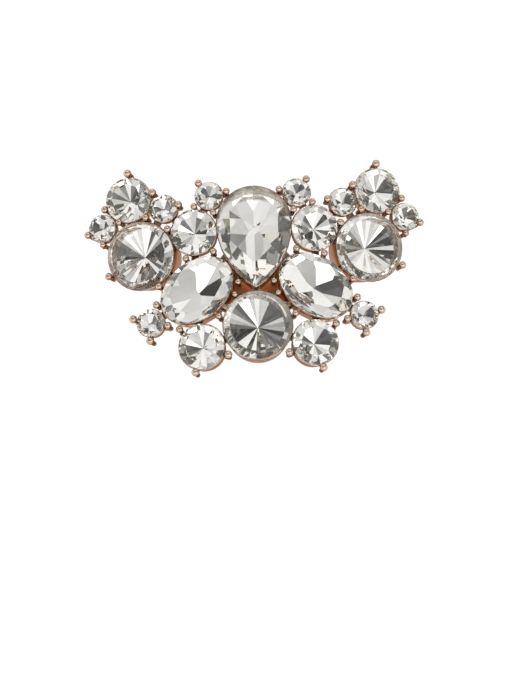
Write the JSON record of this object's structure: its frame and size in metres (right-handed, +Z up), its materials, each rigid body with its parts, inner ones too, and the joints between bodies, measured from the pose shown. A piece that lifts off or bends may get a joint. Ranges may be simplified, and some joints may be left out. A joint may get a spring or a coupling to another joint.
{
  "type": "shoe clip",
  "caption": "Jewelled shoe clip: a spread of claw-set round, oval and pear stones in one cast setting, with a flat bent strip behind it that slips over the edge of a shoe.",
  "frame": {"origin": "middle of the outline seen from above, on the underside of the strip that the clip lies on", "axes": "+X along the length towards the right wing, +Y towards the round end of the pear stone, +Z up out of the stones"},
  "size_m": [0.0598, 0.0378, 0.0125],
  "materials": {
    "rose_gold": "polished rose-gold plating on a zinc casting",
    "strip_metal": "rolled strip, copper-coloured plating",
    "cut_glass": "clear cut glass with a silver foil on its lower facets"
  },
  "bodies": {
    "root": {"setting": "rose_gold", "shoe_clip": "strip_metal", "pear_stone": "cut_glass", "bottom_stone": "cut_glass", "side_stone_right": "cut_glass", "side_stone_left": "cut_glass", "oval_stone_right": "cut_glass", "oval_stone_left": "cut_glass", "crest_stone_right": "cut_glass", "crest_stone_left": "cut_glass", "mid_stone_right": "cut_glass", "mid_stone_left": "cut_glass", "foot_stone_right": "cut_glass", "foot_stone_left": "cut_glass", "ear_stone_right": "cut_glass", "ear_stone_left": "cut_glass", "inner_stone_right": "cut_glass", "inner_stone_left": "cut_glass", "wing_stone_right": "cut_glass", "wing_stone_left": "cut_glass", "tail_stone_right": "cut_glass", "tail_stone_left": "cut_glass"}
  },
  "joints": []
}
